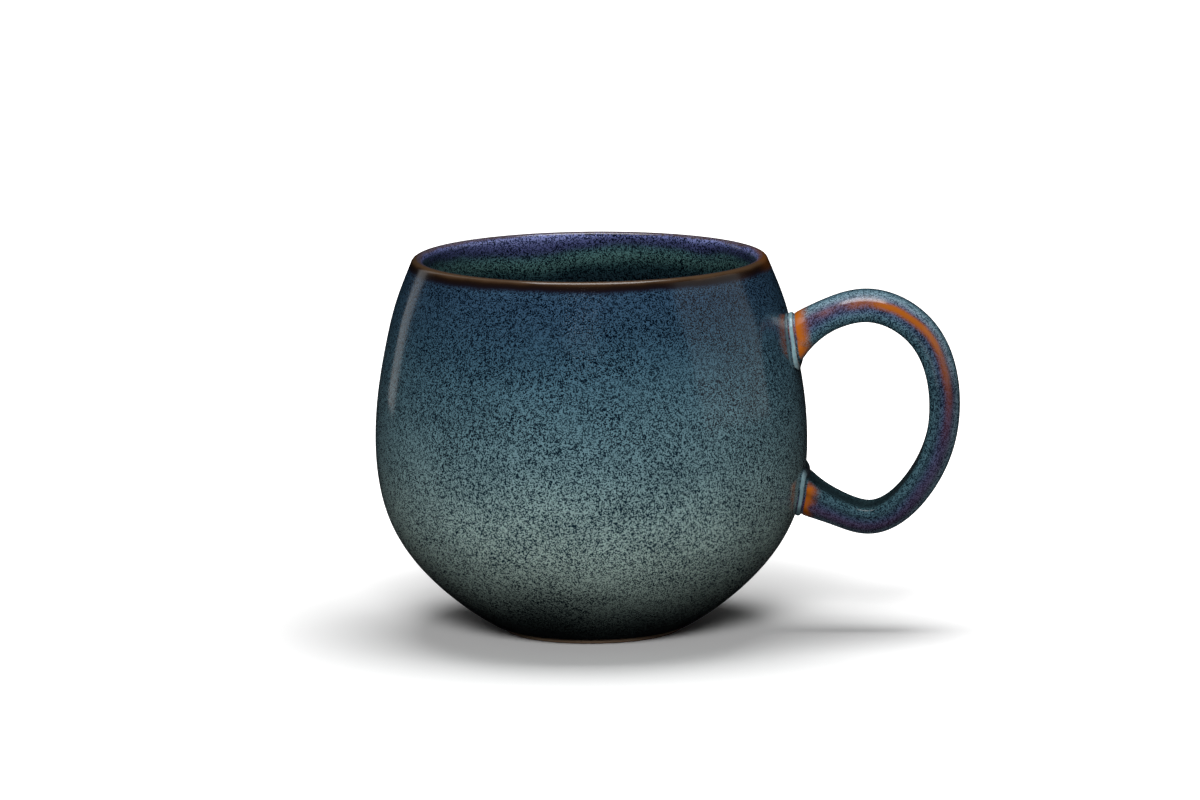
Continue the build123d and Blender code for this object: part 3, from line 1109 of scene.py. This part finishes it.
    def _meet(
        self, line: np.ndarray, section: np.ndarray, normals: np.ndarray, off: float, grow: float, side: int
    ) -> np.ndarray:
        """Share of the way along the loop at which each point of the section is a given way off the wall.

        Args:
            line: The loop's middle line.
            section: The section's points.
            normals: Which way is out at each of them.
            off: How far off the glazed wall, in millimetres.
            grow: How far the section is let out, in millimetres.
            side: 1 for the upper end, -1 for the lower one.

        Returns:
            The share for each point.
        """
        wall = beside(self.bowl.outside(400), GLAZE)
        near = np.zeros(len(section))
        far = np.full(len(section), 0.22)
        for _ in range(30):
            guess = (near + far) / 2
            spot = self._ring(line, section, normals, guess if side > 0 else 1 - guess, grow)
            gap = np.hypot(spot[:, 0], spot[:, 1]) - np.interp(spot[:, 2], wall[:, 1], wall[:, 0])
            inside = gap < off * MM
            near = np.where(inside, guess, near)
            far = np.where(inside, far, guess)
        return far if side > 0 else 1 - far

    def _tube(self, name: str, rows: np.ndarray, facts: dict[str, np.ndarray]) -> bpy.types.Object:
        """Wrap a flat sheet into a tube and close its seam.

        Args:
            name: The piece's name.
            rows: Ring by ring, where each point lies.
            facts: What else is kept at each point, by name.

        Returns:
            The tube, open at both ends.
        """
        rings, sides = rows.shape[:2]
        deselect()
        bpy.ops.mesh.primitive_grid_add(x_subdivisions=rings - 1, y_subdivisions=sides, size=2)
        piece = bpy.context.object
        piece.name = name
        flat = np.zeros(len(piece.data.vertices) * 3)
        piece.data.vertices.foreach_get("co", flat)
        flat = flat.reshape(-1, 3)
        ring = np.rint((flat[:, 0] + 1) / 2 * (rings - 1)).astype(int)
        side = np.rint((flat[:, 1] + 1) / 2 * sides).astype(int) % sides
        for fact, values in facts.items():
            layer = piece.data.attributes.new(fact, "FLOAT", "POINT")
            layer.data.foreach_set("value", values[ring, side].astype(np.float32))
        piece.data.vertices.foreach_set("co", rows[ring, side].ravel())
        take(piece)
        bpy.ops.object.mode_set(mode="EDIT")
        bpy.ops.mesh.select_all(action="SELECT")
        bpy.ops.mesh.remove_doubles(threshold=0.004 * MM)
        bpy.ops.mesh.normals_make_consistent(inside=False)
        bpy.ops.object.mode_set(mode="OBJECT")
        return piece

    def _wrap(self, rows: np.ndarray, along: np.ndarray, around: np.ndarray) -> None:
        """The glaze coat over the loop and both collars.

        Args:
            rows: Ring by ring, where each point lies.
            along: Ring by ring, how far along the loop each point is.
            around: How far round the section each point is.
        """
        wall = beside(self.bowl.outside(400), GLAZE)
        off = np.hypot(rows[..., 0], rows[..., 1]) - np.interp(rows[..., 2], wall[:, 1], wall[:, 0])
        facts = {"around": np.broadcast_to(around, along.shape), "along": along, "off_wall": off / MM}
        piece = self._tube("handle_coat", rows, facts)
        thicken(piece, GLAZE * 0.8, outward=True)
        finish = GlazeFinish(Coat.HANDLE, ripple=0.6).build(self.effects)
        finish_piece(piece, "handle_glaze", finish, 60)


# ---------------------------------------------------------------------------------------------
# The studio
# ---------------------------------------------------------------------------------------------


@dataclass
class Studio:
    """A pale table, soft lamps and a long lens.

    Attributes:
        distance: How far the camera stands off.
        azimuth: How far the camera stands round to the handle's side, in degrees.
        elevation: How far the camera looks down, in degrees.
        roll: How far the camera leans, in degrees.
        lens: Focal length in millimetres.
        fill: Strength of the room's soft fill.
    """

    distance: float = 2.0
    azimuth: float = 4.0
    elevation: float = 9.3
    roll: float = -0.6
    lens: float = 270.0
    fill: float = 0.05

    def make(self) -> None:
        """Build the floor, the room, the lamps and the camera."""
        bpy.context.scene.view_settings.view_transform = "Standard"
        self._floor()
        self._room()
        self._lamp("key", (0.0, -1.25, 0.66), (0.45, 0.45), 13.2, gloss=False)
        self._lamp("overhead", (0.0, 0.10, 1.20), (0.8, 0.6), 9.0)
        self._lamp("strip", (-0.235, 0.17, 0.20), (0.065, 0.40), 0.05, matte=False)
        self._lamp("side_window", (1.25, 0.0, 0.45), (1.3, 0.9), 1.5, matte=False)
        self._hood()
        self._camera()

    def _floor(self) -> None:
        """The table top, which looks white and keeps the shadow; to every ray but the camera's it is dark
        grey, painted shade for the mug's underside in its bounce light and gloss.
        """
        deselect()
        bpy.ops.mesh.primitive_plane_add(size=12, location=(0, 0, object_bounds()[0].z - 0.0001))
        floor = bpy.context.object
        floor.name = "table_top"
        material, graph, shader = new_material("table_white")
        path = graph.add("ShaderNodeLightPath")
        seen = graph.math("MAXIMUM", path.outputs["Is Camera Ray"], path.outputs["Is Glossy Ray"])
        seen = graph.math("MAXIMUM", seen, path.outputs["Is Transmission Ray"])
        parts = graph.add("ShaderNodeSeparateXYZ", {0: graph.place()})
        far = graph.radius(parts)
        # Dark grey to every ray but the camera's: painted shade for the mug's lower belly, which sees the
        # table in bounce and gloss.
        tone = graph.mix(path.outputs["Is Camera Ray"], (0.16, 0.16, 0.16), (1.0, 1.0, 1.0))
        graph.feed(shader.inputs["Base Color"], tone)
        shader.inputs["Roughness"].default_value = 0.7
        shader.inputs["Specular IOR Level"].default_value = 0.0
        shader.inputs["Emission Color"].default_value = (1, 1, 1, 1)
        near = graph.math("MULTIPLY", graph.span(far, 0.05, 0.15, 0.0, 1.0), path.outputs["Is Camera Ray"])
        glow = graph.math("MAXIMUM", near, graph.math("MULTIPLY", graph.span(far, 3.0, 3.4), seen))
        graph.feed(shader.inputs["Emission Strength"], glow)
        floor.data.materials.append(material)
        floor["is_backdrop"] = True

    def _room(self) -> None:
        """White behind the object, and a soft fill for everything else."""
        world = bpy.data.worlds.new("room")
        bpy.context.scene.world = world
        world.use_nodes = True
        world.node_tree.nodes.clear()
        graph = Graph(world.node_tree)
        path = graph.add("ShaderNodeLightPath")
        seen = graph.math("MAXIMUM", path.outputs["Is Camera Ray"], path.outputs["Is Glossy Ray"])
        seen = graph.math("MAXIMUM", seen, path.outputs["Is Transmission Ray"])
        sky = graph.add("ShaderNodeBackground")
        sky.inputs["Color"].default_value = (1, 1, 1, 1)
        graph.feed(sky.inputs["Strength"], graph.mix(seen, (self.fill,) * 3, (1.0, 1.0, 1.0)))
        out = graph.add("ShaderNodeOutputWorld")
        graph.feed(out.inputs["Surface"], sky.outputs["Background"])

    def _lamp(
        self,
        name: str,
        spot: tuple[float, float, float],
        size: tuple[float, float],
        power: float,
        matte: bool = True,
        gloss: bool = True,
    ) -> None:
        """One soft lamp, turned to the mug.

        Args:
            name: The lamp's name.
            spot: Where it stands.
            size: Its width and height.
            power: Its power in watts.
            matte: Whether it lights the surfaces.
            gloss: Whether it shows in the gloss.
        """
        deselect()
        bpy.ops.object.light_add(type="AREA", location=spot)
        lamp = bpy.context.object
        lamp.name = name
        lamp.data.shape = "RECTANGLE"
        lamp.data.size, lamp.data.size_y = size
        lamp.data.energy = power
        lamp.rotation_euler = (Vector((0, 0, 0.045)) - Vector(spot)).to_track_quat("-Z", "Y").to_euler()
        lamp.visible_camera = False
        lamp.visible_diffuse = matte
        lamp.visible_glossy = gloss

    def _hood(self) -> None:
        """A dark tent over and round the table, which shows only in the gloss."""
        deselect()
        bpy.ops.mesh.primitive_cylinder_add(vertices=64, radius=3.0, depth=5.0, location=(0, 0, 2.5005))
        hood = bpy.context.object
        hood.name = "curtain"
        material, _, shader = new_material("curtain_black")
        shader.inputs["Base Color"].default_value = (0.012, 0.012, 0.014, 1)
        shader.inputs["Roughness"].default_value = 1.0
        shader.inputs["Specular IOR Level"].default_value = 0.0
        hood.data.materials.append(material)
        for ray in ("camera", "diffuse", "shadow", "transmission", "volume_scatter"):
            setattr(hood, "visible_" + ray, False)
        hood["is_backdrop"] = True

    def _camera(self) -> None:
        """A long lens, a little above the lip and leaning very slightly."""
        around, up = math.radians(self.azimuth), math.radians(self.elevation)
        back = Vector((math.sin(around) * math.cos(up), -math.cos(around) * math.cos(up), math.sin(up)))
        turn = back.to_track_quat("Z", "Y").to_matrix()
        aim = Vector((0, 0, 42 * MM)) + turn @ Vector((2.0 * MM, 9.2 * MM, 0))
        deselect()
        bpy.ops.object.camera_add(location=aim + back * self.distance)
        camera = bpy.context.object
        camera.name = "camera"
        camera.rotation_euler = (turn @ Matrix.Rotation(math.radians(self.roll), 3, "Z")).to_euler()
        camera.data.lens = self.lens
        camera.data.clip_end = 20
        bpy.context.scene.camera = camera


# ---------------------------------------------------------------------------------------------
# Putting it together
# ---------------------------------------------------------------------------------------------


def main() -> None:
    """Build the mug and its studio in order."""
    effects = Effects()
    bowl = Bowl(effects)
    bowl.make()
    Handle(effects, bowl).make()
    Studio().make()


if __name__ == "__main__":
    main()
